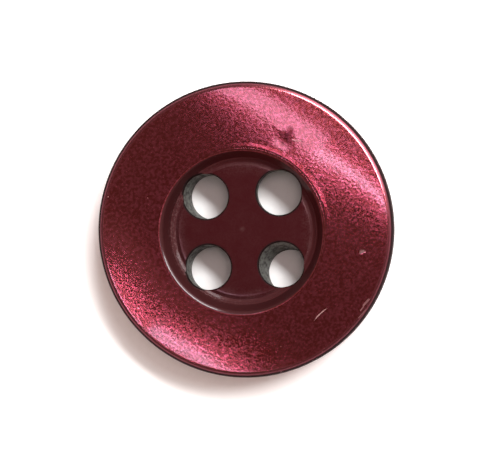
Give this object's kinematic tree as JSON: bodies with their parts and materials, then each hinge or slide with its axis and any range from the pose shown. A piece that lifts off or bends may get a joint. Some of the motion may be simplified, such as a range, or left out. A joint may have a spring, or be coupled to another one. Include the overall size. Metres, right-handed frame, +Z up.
{
  "type": "four-hole sew-through button",
  "caption": "Round domed pearl resin button with a sunken round well and thread holes on a square.",
  "frame": {"origin": "middle of the outline, in the plane of the flat seat under the button", "axes": "+Z up through the face; the thread holes stand on a square whose rows run along +X and +Y"},
  "size_m": [0.0114, 0.0114, 0.0023],
  "materials": {
    "pearl_resin": "polished burgundy resin with a fine pearl sheen"
  },
  "bodies": {
    "root": {"button": "pearl_resin"}
  },
  "joints": []
}
